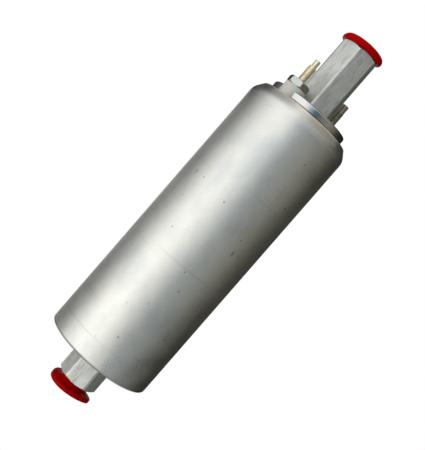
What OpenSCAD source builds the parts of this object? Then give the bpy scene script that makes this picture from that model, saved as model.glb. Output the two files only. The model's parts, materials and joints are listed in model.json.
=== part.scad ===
// Inline electric fuel pump: a rolled can with a gerotor pump, a brushed motor,
// a check valve in the outlet fitting and a red shipping plug in each port.
// Sizes are in millimetres. The flow axis is Z with the outlet up, and z = 0 is the middle of the can.

/* [Can] */
// Outside diameter of the can
can_d = 51; // [50:0.5:53]
// Length of the can over its rolled ends
can_len = 136.3; // [132:0.1:148]
// Thickness of the can's wall
can_wall = 1; // [0.8:0.1:1.2]
// Outside bend radius of the roll at the inlet end
inlet_roll_r = 1.6; // [1.5:0.1:2.2]
// Width of the lip rolled in under the inlet cap
inlet_lip = 4.5; // [3.5:0.1:6]
// Length of the taper rolled over the outlet cap
taper_len = 4.5; // [4:0.1:5.2]
// How far the taper brings the can in
taper_in = 3.2; // [2.8:0.1:3.6]
// Outside bend radius at both ends of the taper
taper_bend_r = 1.6; // [1.5:0.1:1.8]
// Width of the lip inside the taper
outlet_lip = 0.9; // [0.7:0.1:1.2]

/* [End caps] */
// Width across flats of both hex fittings
hex_af = 17; // [16.5:0.5:18]
// How far the inlet fitting stands out of the can
inlet_hex_len = 15.2; // [12:0.1:18]
// How far the outlet fitting stands out of the can
outlet_hex_len = 36.3; // [33:0.1:44]
// Depth of the chamfer at the end of both fittings
hex_chamfer = 0.95; // [0.5:0.05:1.2]
// Turn of the inlet hex about the axis, in degrees
inlet_hex_turn = 3; // [-30:1:30]
// Turn of the outlet hex about the axis, in degrees
outlet_hex_turn = -8; // [-30:1:30]
// Diameter of the round collar at the outlet end
collar_d = 38.8; // [36:0.2:40]
// How far the collar stands out of the can
collar_h = 3.8; // [3:0.1:6]
// Radius of the collar's top edge
collar_edge_r = 0.8; // [0.4:0.1:1.2]
// Height of the inlet cap inside the can
inlet_cap_h = 10.5; // [10:0.25:13]
// Height of the outlet cap inside the can
outlet_cap_h = 12.5; // [12:0.25:15]
// Drill size of the threaded ports
port_d = 9.1; // [8.6:0.1:9.6]
// Threaded length of the outlet port
outlet_thread_len = 12; // [10:0.5:14]
// Diameter of the plain mouth of each port, where a plug sits
mouth_d = 12.4; // [11.6:0.1:13]
// Depth of each plain mouth
mouth_depth = 7; // [6.5:0.1:8]
// Section diameter of the cap seals
seal_d = 1.8; // [1.5:0.1:2.1]

/* [Plugs] */
// Diameter of the plugs' rims
plug_rim_d = 20.9; // [19.5:0.1:23]
// Thickness of the plugs' rims
plug_rim_t = 3; // [2.5:0.1:3.4]
// Radius of the rims' edges
plug_edge_r = 1.2; // [0.6:0.1:1.2]
// How deep the outlet plug's nose goes in
outlet_nose = 6.4; // [4:0.1:6.45]
// How deep the inlet plug's nose goes in
inlet_nose = 6; // [4:0.1:6.4]
// Length of the flare that stands out of the port below the inlet plug's rim
inlet_flare = 2.9; // [1:0.1:3]
// Length of the flare that stands out of the port below the outlet plug's rim
outlet_flare = 1; // [1:0.1:3]
// Wall of the plugs' hollow noses
plug_wall = 1.5; // [1:0.1:2]

/* [Terminals] */
// Direction of the positive stud about the axis, in degrees
term_turn = 228; // [0:1:359]
// Thread diameter of the studs
stud_d = 4; // [3.5:0.1:4.2]
// Diameter of the studs' plain tips
tip_d = 2.6; // [2:0.1:3.2]
// Length of the studs' plain tips
tip_len = 3.5; // [2:0.1:5]
// Height of the positive stud's tip over the collar
positive_rise = 16.3; // [13:0.1:20]
// Height of the negative stud's tip over the collar
negative_rise = 13.7; // [11:0.1:20]
// Diameter of the terminal's insulating bush
insulator_d = 10; // [9.8:0.1:10.8]
// How far the insulating bush stands over the collar
insulator_rise = 1.7; // [1:0.1:4]
// Width across flats of the terminal nut
nut_af = 9.5; // [8:0.1:10]
// Height of the terminal nut
nut_h = 3.2; // [2:0.1:4]
// Turn of the terminal nut about its stud, in degrees
nut_turn = 14; // [-30:1:30]

/* [Pump] */
// Height of the rotors
rotor_h = 10; // [8:0.5:12]
// Height of the plate below the rotors
inlet_plate_h = 8; // [7:0.5:9]
// Height of the plate above the rotors
bearing_plate_h = 10; // [9:0.5:12]
// Lobes on the inner rotor
lobes = 6; // [5:1:6]
// Distance between the two rotors' axes
eccentric = 1.2; // [1:0.1:1.3]
// Radius of the circle the outer rotor's lobes are centred on
lobe_pitch_r = 11.5; // [11.3:0.1:11.8]
// Radius of each of the outer rotor's lobes
lobe_r = 3.2; // [3:0.1:3.4]
// Diameter of the outer rotor
rotor_d = 28; // [27:0.2:28.6]
// Distance of the pump screws from the plates' rims
screw_edge = 4.4; // [4.2:0.1:4.8]
// Diameter of the pump screws
screw_d = 4; // [3.5:0.1:4.2]
// Diameter of the relief valve's ball
relief_ball_d = 4.6; // [4:0.1:4.8]

/* [Check valve] */
// Diameter of the valve's chamber in the outlet fitting
chamber_d = 11.2; // [10.8:0.1:11.8]
// Diameter of the valve's flat disc
poppet_d = 8.8; // [8:0.1:9.4]
// Diameter of the hole in the valve's seat
seat_hole_d = 6; // [5:0.1:6.4]
// Wire diameter of the check valve's spring
check_wire_d = 0.7; // [0.5:0.1:0.8]

/* [Motor] */
// Diameter of the shaft
shaft_d = 6; // [5.6:0.1:6.2]
// Wall of the flux ring
flux_wall = 2; // [1.6:0.1:2.2]
// Thickness of the magnets
magnet_t = 4.75; // [4.25:0.25:5]
// Angle each magnet spans, in degrees
magnet_span = 130; // [120:1:140]
// Gap between magnets and armature
air_gap = 0.6; // [0.4:0.05:0.9]
// Room between the core and the bearing plate
core_room = 16.8; // [14:0.2:24]
// Room between the core and the brush holder
core_drop = 9; // [9:0.5:12]
// Slots in the armature
slots = 8; // [8:1:10]
// Diameter of the commutator
commutator_d = 18; // [17:0.2:18.6]
// Length of the commutator's bars
bar_len = 10; // [9:0.5:11]
// Height of the brush holder
holder_h = 16; // [16:0.25:18]
// Width of each brush
brush_w = 4; // [3.5:0.1:4.2]
// Height of each brush
brush_h = 6; // [5:0.1:6.2]
// Length of each brush
brush_len = 8; // [7:0.1:8.5]

/* [Fits] */
// Radial clearance of pieces that only sit in one another
seat_fit = 0.05; // [0.02:0.01:0.08]
// Radial clearance of pieces that slide in the can at assembly
can_fit = 0.1; // [0.05:0.01:0.15]
// Radial clearance of turning pieces
run_fit = 0.05; // [0.03:0.01:0.08]
// Clearance between the rotors' lobes
lobe_fit = 0.1; // [0.06:0.01:0.14]

/* [Hidden] */
$fn = 96;
can_r = can_d / 2;
can_half = can_len / 2;
inside_r = can_r - can_wall;
stack_r = inside_r - can_fit;

// Levels from the inlet end to the outlet end
cap_in_z = -can_half + can_wall + can_fit;
plate_z = cap_in_z + inlet_cap_h;
rotor_z = plate_z + inlet_plate_h;
bearing_z = rotor_z + rotor_h;
flux_z = bearing_z + bearing_plate_h;
shoulder_z = can_half - can_wall - can_fit;
cap_out_z = shoulder_z - outlet_cap_h;
holder_z = cap_out_z - holder_h;
collar_z = can_half + collar_h;
inlet_z = -can_half - inlet_hex_len;
outlet_z = can_half + outlet_hex_len;

// The roll at the inlet end, and the centres of the bends at the foot and the top of the taper
low_roll_x = can_r - inlet_roll_r;
low_roll_z = -can_half + inlet_roll_r;
taper_turn = atan(taper_in / taper_len);
taper_foot = [can_r - taper_bend_r, can_half - taper_len - taper_bend_r * tan(taper_turn / 2)];
taper_top = [can_r - taper_in - taper_bend_r * tan(45 - taper_turn / 2), can_half - taper_bend_r];
low_lip_r = can_r - inlet_lip;
top_lip_r = can_r - taper_in - outlet_lip;
lip_gap = 0.3;
term_r = top_lip_r - lip_gap - insulator_d / 2;

// Cap seals
seal_slack = 0.01;
inlet_seal_z = plate_z - inlet_cap_h / 2 + 1;
outlet_seal_z = cap_out_z + outlet_cap_h / 2 - 0.2;

// Ports and the check valve's chamber
spigot_wall = 1.8;
spigot_r = chamber_d / 2 + spigot_wall;
outlet_mouth_z = outlet_z - mouth_depth;
outlet_thread_z = outlet_mouth_z - outlet_thread_len;
inlet_mouth_z = inlet_z + mouth_depth;
throat_len = 3;
throat_d = 5.2;
chamber_top_z = outlet_thread_z - throat_len;
gather_d = 22;
gather_h = 3.5;
seat_z = cap_out_z + gather_h;
seat_h = 3.5;
poppet_z = seat_z + seat_h;
poppet_t = 2;
spring_boss_d = 4;
check_spring_r = 2.75;

// Strainer chamber in the inlet cap
strainer_r = 16;
strainer_lip = 2.4;
strainer_t = 1;
strainer_rim_h = 2.2;
chamber_h = 4.5;
inlet_throat_d = 8.4;
inlet_throat_h = 1;
inlet_thread_z = plate_z - chamber_h - inlet_throat_h;

// Terminals
nut_z = collar_z + insulator_rise;
thread_depth = 0.35;
shank_r = stud_d / 2 - thread_depth;
thread_gap = 0.1;
nut_chamfer = 0.5;
stud_head_r = 4;
head_pocket_r = 5.4;
head_pocket_h = 3;
terminal_seal_t = 1.1;
bush_spigot_r = 3.55;
head_drop = 1.5;
head_z = cap_out_z - head_drop;
strap_t = 0.6;
strap_w = 4;
strap_foot = 3;

// Motor
shaft_r = shaft_d / 2;
magnet_r = stack_r - flux_wall - seat_fit;
core_r = magnet_r - magnet_t - air_gap;
winding_end_h = 6;
core_z = flux_z + core_room;
core_len = holder_z - core_drop - core_z;
magnet_over = 4;
slot_w = 3.8;
slot_open_w = 1.8;
tooth_tip = 1.6;
slot_floor_r = 9;
bar_z = holder_z;
bar_gap = 0.6;
hub_over = 1;
hub_r = 6.4;
bush_r = 5;
upper_bush_h = 3.6;
bush_float = 0.45;
upper_bush_z = bar_z + bar_len + hub_over + bush_float;
shaft_top_z = upper_bush_z + upper_bush_h - 0.4;
shaft_low_z = rotor_z + 0.3;
lower_bush_h = 8;
arm_w = 13;
arm_h = 4;
holder_wall = 2.5;
tube_wall = 0.5;
brush_fit = 0.1;
tube_w = brush_w + 2 * (brush_fit + tube_wall);
tube_h = brush_h + 2 * (brush_fit + tube_wall);
brush_z = bar_z + bar_len / 2;
brush_gap = 0.25;
brush_x = commutator_d / 2 + brush_gap;
tube_in_gap = 1;
tube_in_x = commutator_d / 2 + tube_in_gap;
tube_rim_gap = 2.1;
tube_out_x = stack_r - tube_rim_gap;
strap_inset = 2.6;
strap_x = tube_out_x - strap_inset;

// Pump
rotor_side_fit = 0.04;
lobe_tip_gap = 0.15;
bore_r = rotor_d / 2 + run_fit;
flat_w = 5;
kidney_in_r = 7.4;
kidney_out_r = 10.4;
kidney_span = 130;
screw_head_d = 7;
screw_head_h = 4;
screw_grip = 8;
screw_pitch_r = stack_r - screw_edge;
relief_edge = 5;
relief_r = stack_r - relief_edge;
relief_turn = 270;
relief_bore_r = relief_ball_d / 2 + 0.3;
relief_seat_r = relief_ball_d / 4;
relief_pocket = 3.6;
relief_gap = 0.03;
relief_ball_z = bearing_z + relief_pocket - relief_gap
    - sqrt(pow(relief_ball_d / 2, 2) - pow(relief_seat_r, 2));
relief_wire_d = 0.6;
relief_coil_r = relief_ball_d / 2 - 0.4;
relief_drain_r = 1.2;
drain_h = 2;
drain_in_r = strainer_r - 5;

// Shared shapes

// A round bar or hole from one level to another
module bar(r, z0, z1) {
    translate([0, 0, z0]) cylinder(r = r, h = z1 - z0);
}

// A plain ring
module ring(r_out, r_in, z0, z1) {
    difference() {
        bar(r_out, z0, z1);
        bar(r_in, z0 - 1, z1 + 1);
    }
}

// A sector of a ring that starts at the X axis
module sector(r_in, r_out, z0, z1, span) {
    translate([0, 0, z0]) rotate_extrude(angle = span)
        translate([r_in, 0]) square([r_out - r_in, z1 - z0]);
}

// A hex bar on z = 0 with a turned chamfer on its top, and on its bottom too if asked
module hex_bar(af, h, chamfer, both) {
    corner_r = af / 2 / cos(30);
    end_r = corner_r - chamfer / tan(30);
    intersection() {
        cylinder(r = corner_r, h = h, $fn = 6);
        rotate_extrude() polygon([
            [0, 0], [both ? end_r : corner_r + 1, 0],
            [corner_r + (both ? 0 : 1), both ? chamfer : 0],
            [corner_r + (both ? 0 : 1), both ? h - chamfer : h - chamfer - tan(30)],
            [corner_r, h - chamfer], [end_r, h], [0, h]
        ]);
    }
}

// A rounded disc profile for turning, from z = 0 to z = t
module rim_2d(r, t, edge) {
    square([r - edge, t]);
    translate([0, edge]) square([r, t - 2 * edge]);
    for (z = [edge, t - edge]) translate([r - edge, z]) circle(r = edge);
}

// A coil spring's wire along z, from z = 0 to z = h
function coil_point(i, k, per, sides, r, wire, h, turns) =
    let (a = 360 * i / per, b = 360 * k / sides, rr = r + wire / 2 * cos(b))
    [rr * cos(a), rr * sin(a), wire / 2 + (h - wire) * i / (turns * per) + wire / 2 * sin(b)];

module coil(r, wire, h, turns) {
    per = 12;
    sides = 6;
    rings = turns * per;
    points = [for (i = [0 : rings]) for (k = [0 : sides - 1])
        coil_point(i, k, per, sides, r, wire, h, turns)];
    skin = [for (i = [0 : rings - 1]) for (k = [0 : sides - 1])
        let (n = (k + 1) % sides, p = i * sides, q = p + sides)
        each [[p + k, q + n, p + n], [p + k, q + k, q + n]]];
    first = [for (k = [1 : sides - 2]) [0, k, k + 1]];
    last = [for (k = [1 : sides - 2]) let (p = rings * sides) [p, p + k + 1, p + k]];
    polyhedron(points = points, faces = concat(skin, first, last));
}

// Places a child on a terminal's side: 0 is the positive one, 1 the negative one
module side(i) {
    rotate(term_turn + 180 * i) children();
}

// Places a child on a terminal's stud
module at_stud(i) {
    side(i) translate([term_r, 0, 0]) rotate(-term_turn - 180 * i) children();
}

// Can

// The can's outline, or one that lies inside it by an inset
module can_2d(inset) {
    bend_r = taper_bend_r - inset;
    bend_out = bend_r * [cos(taper_turn), sin(taper_turn)];
    polygon([
        [0, low_roll_z], [can_r - inset, low_roll_z], [can_r - inset, taper_foot.y],
        taper_foot + bend_out, taper_top + bend_out, [taper_top.x, can_half - inset], [0, can_half - inset]
    ]);
    for (bend = [taper_foot, taper_top]) translate(bend) circle(r = bend_r);
    translate([low_roll_x, low_roll_z]) circle(r = inlet_roll_r - inset);
    translate([0, inset - can_half]) square([low_roll_x, inlet_roll_r]);
}

module can() {
    color("Silver") rotate_extrude() difference() {
        can_2d(0);
        can_2d(can_wall);
        square([top_lip_r, can_len]);
        translate([0, -can_len]) square([low_lip_r, can_len]);
    }
}

// End caps

module inlet_cap() {
    color("Gainsboro") difference() {
        rotate_extrude() intersection() {
            can_2d(can_wall + can_fit);
            translate([0, cap_in_z]) square([can_r, inlet_cap_h]);
        }
        bar(spigot_r + seat_fit, cap_in_z - 1, plate_z);
        bar(strainer_r - strainer_lip, plate_z - chamber_h, plate_z + 1);
        bar(strainer_r, plate_z - strainer_rim_h, plate_z + 1);
        seal_groove(inlet_seal_z);
    }
}

// The hex fitting screwed into the inlet cap, with the inlet port
module inlet_fitting() {
    color("LightGray") difference() {
        union() {
            translate([0, 0, cap_in_z]) rotate(-60 + inlet_hex_turn) mirror([0, 0, 1])
                hex_bar(hex_af, cap_in_z - inlet_z, hex_chamfer, false);
            bar(spigot_r, cap_in_z - 1, plate_z - chamber_h);
        }
        bar(mouth_d / 2, inlet_z - 1, inlet_mouth_z);
        bar(port_d / 2, inlet_mouth_z - 1, inlet_thread_z);
        bar(inlet_throat_d / 2, inlet_thread_z - 1, plate_z);
    }
}

module outlet_cap() {
    color("Gainsboro") difference() {
        union() {
            rotate_extrude() intersection() {
                can_2d(can_wall + can_fit);
                translate([0, cap_out_z]) square([can_r, outlet_cap_h]);
            }
            translate([0, 0, shoulder_z - 1]) rotate_extrude() {
                rise = collar_z - shoulder_z + 1;
                square([collar_d / 2 - collar_edge_r, rise]);
                square([collar_d / 2, rise - collar_edge_r]);
                translate([collar_d / 2 - collar_edge_r, rise - collar_edge_r]) circle(r = collar_edge_r);
            }
        }
        bar(spigot_r + seat_fit, cap_out_z, collar_z + 1);
        bar(gather_d / 2, cap_out_z - 1, seat_z);
        at_stud(0) {
            bar(insulator_d / 2 + seat_fit, shoulder_z, collar_z + 1);
            bar(bush_spigot_r + seat_fit, cap_out_z, shoulder_z + 1);
            bar(head_pocket_r, cap_out_z - 1, cap_out_z + head_pocket_h);
        }
        at_stud(1) bar(shank_r + seat_fit, cap_out_z - 1, collar_z + 1);
        seal_groove(outlet_seal_z);
    }
}

// The hex fitting screwed into the outlet cap, with the check valve's chamber and the outlet port
module outlet_fitting() {
    color("LightGray") difference() {
        union() {
            translate([0, 0, collar_z]) rotate(-90 + outlet_hex_turn)
                hex_bar(hex_af, outlet_z - collar_z, hex_chamfer, false);
            bar(spigot_r, seat_z, collar_z + 1);
        }
        bar(mouth_d / 2, outlet_mouth_z, outlet_z + 1);
        bar(port_d / 2, outlet_thread_z, outlet_mouth_z + 1);
        bar(throat_d / 2, chamber_top_z - 1, outlet_thread_z + 1);
        bar(chamber_d / 2, seat_z - 1, chamber_top_z);
    }
}

// A groove for a seal round a cap
module seal_groove(z) {
    ring(stack_r + 1, inside_r - seal_d, z - seal_d * 0.6, z + seal_d * 0.6);
}

module cap_seal(z) {
    translate([0, 0, z]) rotate_extrude()
        translate([inside_r - seal_d / 2 - seal_slack, 0]) circle(d = seal_d - 2 * seal_slack);
}

module inlet_cap_seal() {
    color("DimGray") cap_seal(inlet_seal_z);
}

module outlet_cap_seal() {
    color("DimGray") cap_seal(outlet_seal_z);
}

module inlet_strainer() {
    z = plate_z - strainer_rim_h;
    color("LightSteelBlue") difference() {
        union() {
            bar(strainer_r - seat_fit, z, z + strainer_t);
            ring(strainer_r - seat_fit, strainer_r - strainer_lip, z, plate_z);
        }
        for (n = [1 : 4], i = [0 : 6 * n - 1]) rotate(60 * i / n)
            translate([3 * n, 0, 0]) bar(0.8, z - 1, plate_z);
    }
}

// Plugs

// A plug with a hollow nose below z = 0, and a flare that ends in a round-edged rim above it
module plug(nose, flare) {
    nose_r = mouth_d / 2 - seat_fit;
    difference() {
        rotate_extrude() {
            translate([0, -nose]) square([nose_r, nose + flare]);
            difference() {
                square([nose_r + flare, flare + plug_edge_r]);
                translate([nose_r + flare, 0]) circle(r = flare);
            }
            translate([0, flare]) rim_2d(plug_rim_d / 2, plug_rim_t, plug_edge_r);
        }
        bar(nose_r - plug_wall, plug_wall - nose, flare + plug_rim_t + 1);
    }
}

module outlet_plug() {
    color("Red") translate([0, 0, outlet_z]) plug(outlet_nose, outlet_flare);
}

module inlet_plug() {
    color("Red") translate([0, 0, inlet_z]) mirror([0, 0, 1]) plug(inlet_nose, inlet_flare);
}

// Terminals

module positive_insulator() {
    color("LightGray") at_stud(0) difference() {
        union() {
            bar(insulator_d / 2, shoulder_z, nut_z);
            bar(bush_spigot_r, cap_out_z + head_pocket_h, shoulder_z + 1);
        }
        bar(shank_r + seat_fit, cap_out_z, nut_z + 1);
    }
}

module positive_seal() {
    z = cap_out_z + head_pocket_h;
    color("DimGray") at_stud(0) ring(head_pocket_r - 0.2, shank_r + seat_fit, z - terminal_seal_t, z);
}

// A stud with a round head and a shank below, a free threaded end and a plain tip on top
module stud(head_top_z, free_z, tip_z) {
    bar(stud_head_r, head_z, head_top_z);
    bar(shank_r, head_z, free_z + 1);
    bar(stud_d / 2, free_z, tip_z - tip_len);
    bar(tip_d / 2, free_z, tip_z);
}

module positive_stud() {
    color("Goldenrod") at_stud(0)
        stud(cap_out_z + head_pocket_h - terminal_seal_t, nut_z + nut_h + thread_gap,
             collar_z + positive_rise);
}

module negative_stud() {
    color("Goldenrod") at_stud(1) stud(cap_out_z, collar_z + thread_gap, collar_z + negative_rise);
}

module positive_nut() {
    color("Silver") at_stud(0) difference() {
        translate([0, 0, nut_z]) rotate(-90 + nut_turn) hex_bar(nut_af, nut_h, nut_chamfer, true);
        bar(shank_r + seat_fit, nut_z - 1, nut_z + nut_h + 1);
    }
}

// A strip from a stud's head to the top of a brush tube
module strap() {
    low_z = brush_z + tube_h / 2;
    translate([term_r - strap_foot, -strap_w / 2, head_z - strap_t])
        cube([strap_x + strap_t - term_r + strap_foot, strap_w, strap_t]);
    translate([strap_x, -strap_w / 2, low_z]) cube([strap_t, strap_w, head_z - low_z]);
}

module positive_strap() {
    color("Gold") side(0) strap();
}

module negative_strap() {
    color("Gold") side(1) strap();
}

// Check valve

module check_seat() {
    color("Goldenrod") ring(chamber_d / 2 - seat_fit / 2, seat_hole_d / 2, seat_z, seat_z + seat_h);
}

module check_poppet() {
    color("Ivory") {
        bar(poppet_d / 2, poppet_z + 0.02, poppet_z + poppet_t);
        bar(spring_boss_d / 2, poppet_z + poppet_t - 1, poppet_z + poppet_t + 2);
        bar(seat_hole_d / 2 - 1.4, seat_z + 0.5, poppet_z + 1);
    }
}

module check_spring() {
    z = poppet_z + poppet_t;
    color("SlateGray") translate([0, 0, z]) coil(check_spring_r, check_wire_d, chamber_top_z - z, 8);
}

// Pump

// A kidney-shaped port through a plate
module kidney(turn, z0, z1) {
    rotate(turn - kidney_span / 2) sector(kidney_in_r, kidney_out_r, z0, z1, kidney_span);
    for (s = [-1, 1]) rotate(turn + s * kidney_span / 2)
        translate([(kidney_in_r + kidney_out_r) / 2, 0, 0]) bar((kidney_out_r - kidney_in_r) / 2, z0, z1);
}

// Places children on the three pump screws
module at_screws() {
    for (i = [0 : 2]) rotate(90 + 120 * i) translate([screw_pitch_r, 0, 0]) children();
}

module at_relief() {
    rotate(relief_turn) translate([relief_r, 0, 0]) children();
}

module inlet_plate() {
    color("DarkGray") difference() {
        bar(stack_r, plate_z, rotor_z);
        kidney(90, plate_z - 1, rotor_z + 1);
        at_screws() {
            bar(screw_d / 2 + 0.1, plate_z - 1, rotor_z + 1);
            bar(screw_head_d / 2 + 0.2, plate_z - 1, plate_z + screw_head_h + 0.2);
        }
        at_relief() bar(relief_drain_r, plate_z, rotor_z + 1);
        rotate(relief_turn) translate([drain_in_r, -relief_drain_r, plate_z - 1])
            cube([relief_r + relief_drain_r - drain_in_r, 2 * relief_drain_r, drain_h + 1]);
    }
}

module pump_ring() {
    color("Gray") difference() {
        bar(stack_r, rotor_z, bearing_z);
        translate([-eccentric, 0, 0]) bar(bore_r, rotor_z - 1, bearing_z + 1);
        at_screws() bar(screw_d / 2 + 0.1, rotor_z - 1, bearing_z + 1);
        at_relief() bar(relief_bore_r, rotor_z - 1, bearing_z + 1);
    }
}

module bearing_plate() {
    color("DarkGray") difference() {
        bar(stack_r, bearing_z, flux_z);
        kidney(270, bearing_z - 1, flux_z + 1);
        bar(bush_r + 0.01, flux_z - lower_bush_h, flux_z + 1);
        bar(shaft_r + 0.3, bearing_z - 1, flux_z);
        at_screws() bar(screw_d / 2 + seat_fit, bearing_z - 1, bearing_z + screw_grip);
        at_relief() {
            bar(relief_bore_r, bearing_z - 1, bearing_z + relief_pocket);
            bar(relief_seat_r, bearing_z, flux_z + 1);
        }
    }
}

module outer_rotor() {
    color("SlateGray") translate([-eccentric, 0, 0]) difference() {
        bar(rotor_d / 2, rotor_z + rotor_side_fit, bearing_z - rotor_side_fit);
        translate([0, 0, rotor_z - 1]) linear_extrude(rotor_h + 2) difference() {
            circle(r = lobe_pitch_r - lobe_r + 2 * eccentric + lobe_tip_gap);
            for (i = [0 : lobes])
                rotate(360 * i / (lobes + 1)) translate([lobe_pitch_r, 0]) circle(r = lobe_r);
        }
    }
}

// A point on the inner rotor's lobes, which are generated by the outer rotor's round lobes
function lobe_point(t, n, r) =
    let (turn = atan2(sin((1 - n) * t), lobe_pitch_r / (eccentric * n) - cos((1 - n) * t)))
    [lobe_pitch_r * cos(t) - r * cos(t + turn) - eccentric * cos(n * t),
     -lobe_pitch_r * sin(t) + r * sin(t + turn) + eccentric * sin(n * t)];

module inner_rotor() {
    steps = 48 * lobes;
    color("LightSlateGray") translate([0, 0, rotor_z + rotor_side_fit])
        linear_extrude(rotor_h - 2 * rotor_side_fit) difference() {
            polygon([for (i = [0 : steps - 1]) lobe_point(360 * i / steps, lobes + 1, lobe_r + lobe_fit)]);
            intersection() {
                circle(r = shaft_r + seat_fit / 2);
                square([4 * shaft_r, flat_w + seat_fit], center = true);
            }
        }
}

module pump_screws() {
    color("Silver") at_screws() {
        difference() {
            bar(screw_head_d / 2, plate_z + 0.2, plate_z + screw_head_h + 0.2);
            translate([0, 0, plate_z - 1]) cylinder(d = 3.5, h = 3.2, $fn = 6);
        }
        bar(screw_d / 2, plate_z + screw_head_h, bearing_z + screw_grip - 0.5);
    }
}

module relief_ball() {
    color("Silver") at_relief() translate([0, 0, relief_ball_z]) sphere(d = relief_ball_d);
}

module relief_spring() {
    top_z = relief_ball_z - sqrt(pow(relief_ball_d / 2, 2) - pow(relief_coil_r - relief_wire_d / 2, 2));
    color("SlateGray") at_relief() translate([0, 0, rotor_z])
        coil(relief_coil_r - 0.3, relief_wire_d, top_z - rotor_z - 0.3, 6);
}

// Shaft and bearings

module lower_bush() {
    color("Peru") ring(bush_r, shaft_r + run_fit, flux_z - lower_bush_h, flux_z);
}

module upper_bush() {
    color("Peru") ring(bush_r, shaft_r + run_fit, upper_bush_z, upper_bush_z + upper_bush_h);
}

module shaft() {
    color("LightGray") difference() {
        bar(shaft_r, shaft_low_z, shaft_top_z);
        for (s = [-1, 1]) translate([-shaft_d, s > 0 ? flat_w / 2 : -flat_w / 2 - shaft_d, shaft_low_z - 1])
            cube([2 * shaft_d, shaft_d, bearing_z - shaft_low_z + 1.5]);
    }
}

module thrust_washers() {
    color("Ivory") {
        ring(bush_r, shaft_r + seat_fit, upper_bush_z - 0.4, upper_bush_z - 0.02);
        ring(bush_r, shaft_r + seat_fit, flux_z + 0.02, flux_z + 1);
    }
}

// Motor

module flux_ring() {
    color("DimGray") ring(stack_r, stack_r - flux_wall, flux_z, holder_z);
}

module magnet(turn) {
    rotate(turn - magnet_span / 2)
        sector(magnet_r - magnet_t, magnet_r, core_z - magnet_over, core_z + core_len + magnet_over,
               magnet_span);
}

module magnet_a() {
    color("DarkSlateGray") magnet(term_turn + 90);
}

module magnet_b() {
    color("DarkSlateGray") magnet(term_turn + 270);
}

// Two sprung strips that spread the magnets apart
module magnet_clips() {
    span = 180 - magnet_span - 1;
    z0 = core_z - magnet_over + 4;
    z1 = core_z + core_len + magnet_over - 4;
    color("Silver") for (i = [0, 1]) side(i) {
        rotate(-span / 2) sector(magnet_r - 0.8, magnet_r, z0, z1, span);
        for (s = [-1, 1]) rotate(s > 0 ? span / 2 - 3 : -span / 2)
            sector(magnet_r - 3, magnet_r - 0.4, z0, z1, 3);
    }
}

module armature_core() {
    color("SteelBlue") difference() {
        bar(core_r, core_z, core_z + core_len);
        bar(shaft_r, core_z - 1, core_z + core_len + 1);
        for (i = [0 : slots - 1]) rotate(360 * i / slots) {
            translate([slot_floor_r, -slot_w / 2, core_z - 1])
                cube([core_r - tooth_tip - slot_floor_r, slot_w, core_len + 2]);
            translate([slot_floor_r, -slot_open_w / 2, core_z - 1])
                cube([core_r, slot_open_w, core_len + 2]);
        }
    }
}

module armature_winding() {
    out_r = core_r - tooth_tip - 0.2;
    color("Chocolate") {
        for (z = [core_z - winding_end_h, core_z + core_len]) ring(out_r, shaft_r + 2, z, z + winding_end_h);
        for (i = [0 : slots - 1]) rotate(360 * i / slots)
            translate([slot_floor_r + 0.2, -slot_w / 2 + 0.2, core_z - 1])
                cube([out_r - slot_floor_r - 0.6, slot_w - 0.4, core_len + 2]);
    }
}

module commutator_hub() {
    color("SaddleBrown") ring(hub_r, shaft_r, bar_z - hub_over, bar_z + bar_len + hub_over);
}

module commutator_bars() {
    color("Coral") difference() {
        ring(commutator_d / 2, hub_r, bar_z, bar_z + bar_len);
        for (i = [0 : slots - 1]) rotate(360 * i / slots)
            translate([0, -bar_gap / 2, bar_z - 1]) cube([commutator_d, bar_gap, bar_len + 2]);
    }
}

// Brush gear

module brush_holder() {
    pocket_z = head_z - strap_t - 0.1;
    color("Khaki") difference() {
        union() {
            ring(stack_r, stack_r - holder_wall, holder_z, cap_out_z);
            intersection() {
                bar(stack_r - holder_wall + 0.5, holder_z, cap_out_z);
                side(0) union() {
                    translate([-can_r, -arm_w / 2, cap_out_z - arm_h]) cube([can_d, arm_w, arm_h]);
                    for (s = [0, 1]) rotate(180 * s)
                        translate([tube_in_x + 0.6, -tube_w / 2 - 1.6, holder_z + 0.5])
                            cube([can_r, tube_w + 3.2, cap_out_z - holder_z - 1]);
                }
            }
            bar(bush_r + 1.8, upper_bush_z, cap_out_z);
        }
        bar(bush_r + 0.01, upper_bush_z - 1, upper_bush_z + upper_bush_h);
        for (s = [0, 1]) side(s) {
            translate([0, -tube_w / 2 - seat_fit, brush_z - tube_h / 2 - seat_fit])
                cube([tube_out_x + seat_fit, tube_w + 2 * seat_fit, tube_h + 2 * seat_fit]);
            translate([term_r - stud_head_r - 0.5, -stud_head_r - 0.4, pocket_z])
                cube([strap_x + strap_t + 0.3 - term_r + stud_head_r + 0.5, 2 * stud_head_r + 0.8, can_len]);
            translate([strap_x - 0.2, -strap_w / 2 - 0.2, brush_z])
                cube([strap_t + 0.5, strap_w + 0.4, can_len]);
        }
    }
}

// A brush tube with a closed outer end
module brush_tube() {
    color("Gold") difference() {
        translate([tube_in_x, -tube_w / 2, brush_z - tube_h / 2])
            cube([tube_out_x - tube_in_x, tube_w, tube_h]);
        translate([0, -tube_w / 2 + tube_wall, brush_z - tube_h / 2 + tube_wall])
            cube([tube_out_x - tube_wall, tube_w - 2 * tube_wall, tube_h - 2 * tube_wall]);
    }
}

module positive_brush_tube() {
    side(0) brush_tube();
}

module negative_brush_tube() {
    side(1) brush_tube();
}

module brush() {
    color("DarkSlateGray") difference() {
        translate([0, -brush_w / 2, brush_z - brush_h / 2]) cube([brush_x + brush_len, brush_w, brush_h]);
        bar(brush_x, brush_z - brush_h, brush_z + brush_h);
    }
}

module positive_brush() {
    side(0) brush();
}

module negative_brush() {
    side(1) brush();
}

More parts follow.
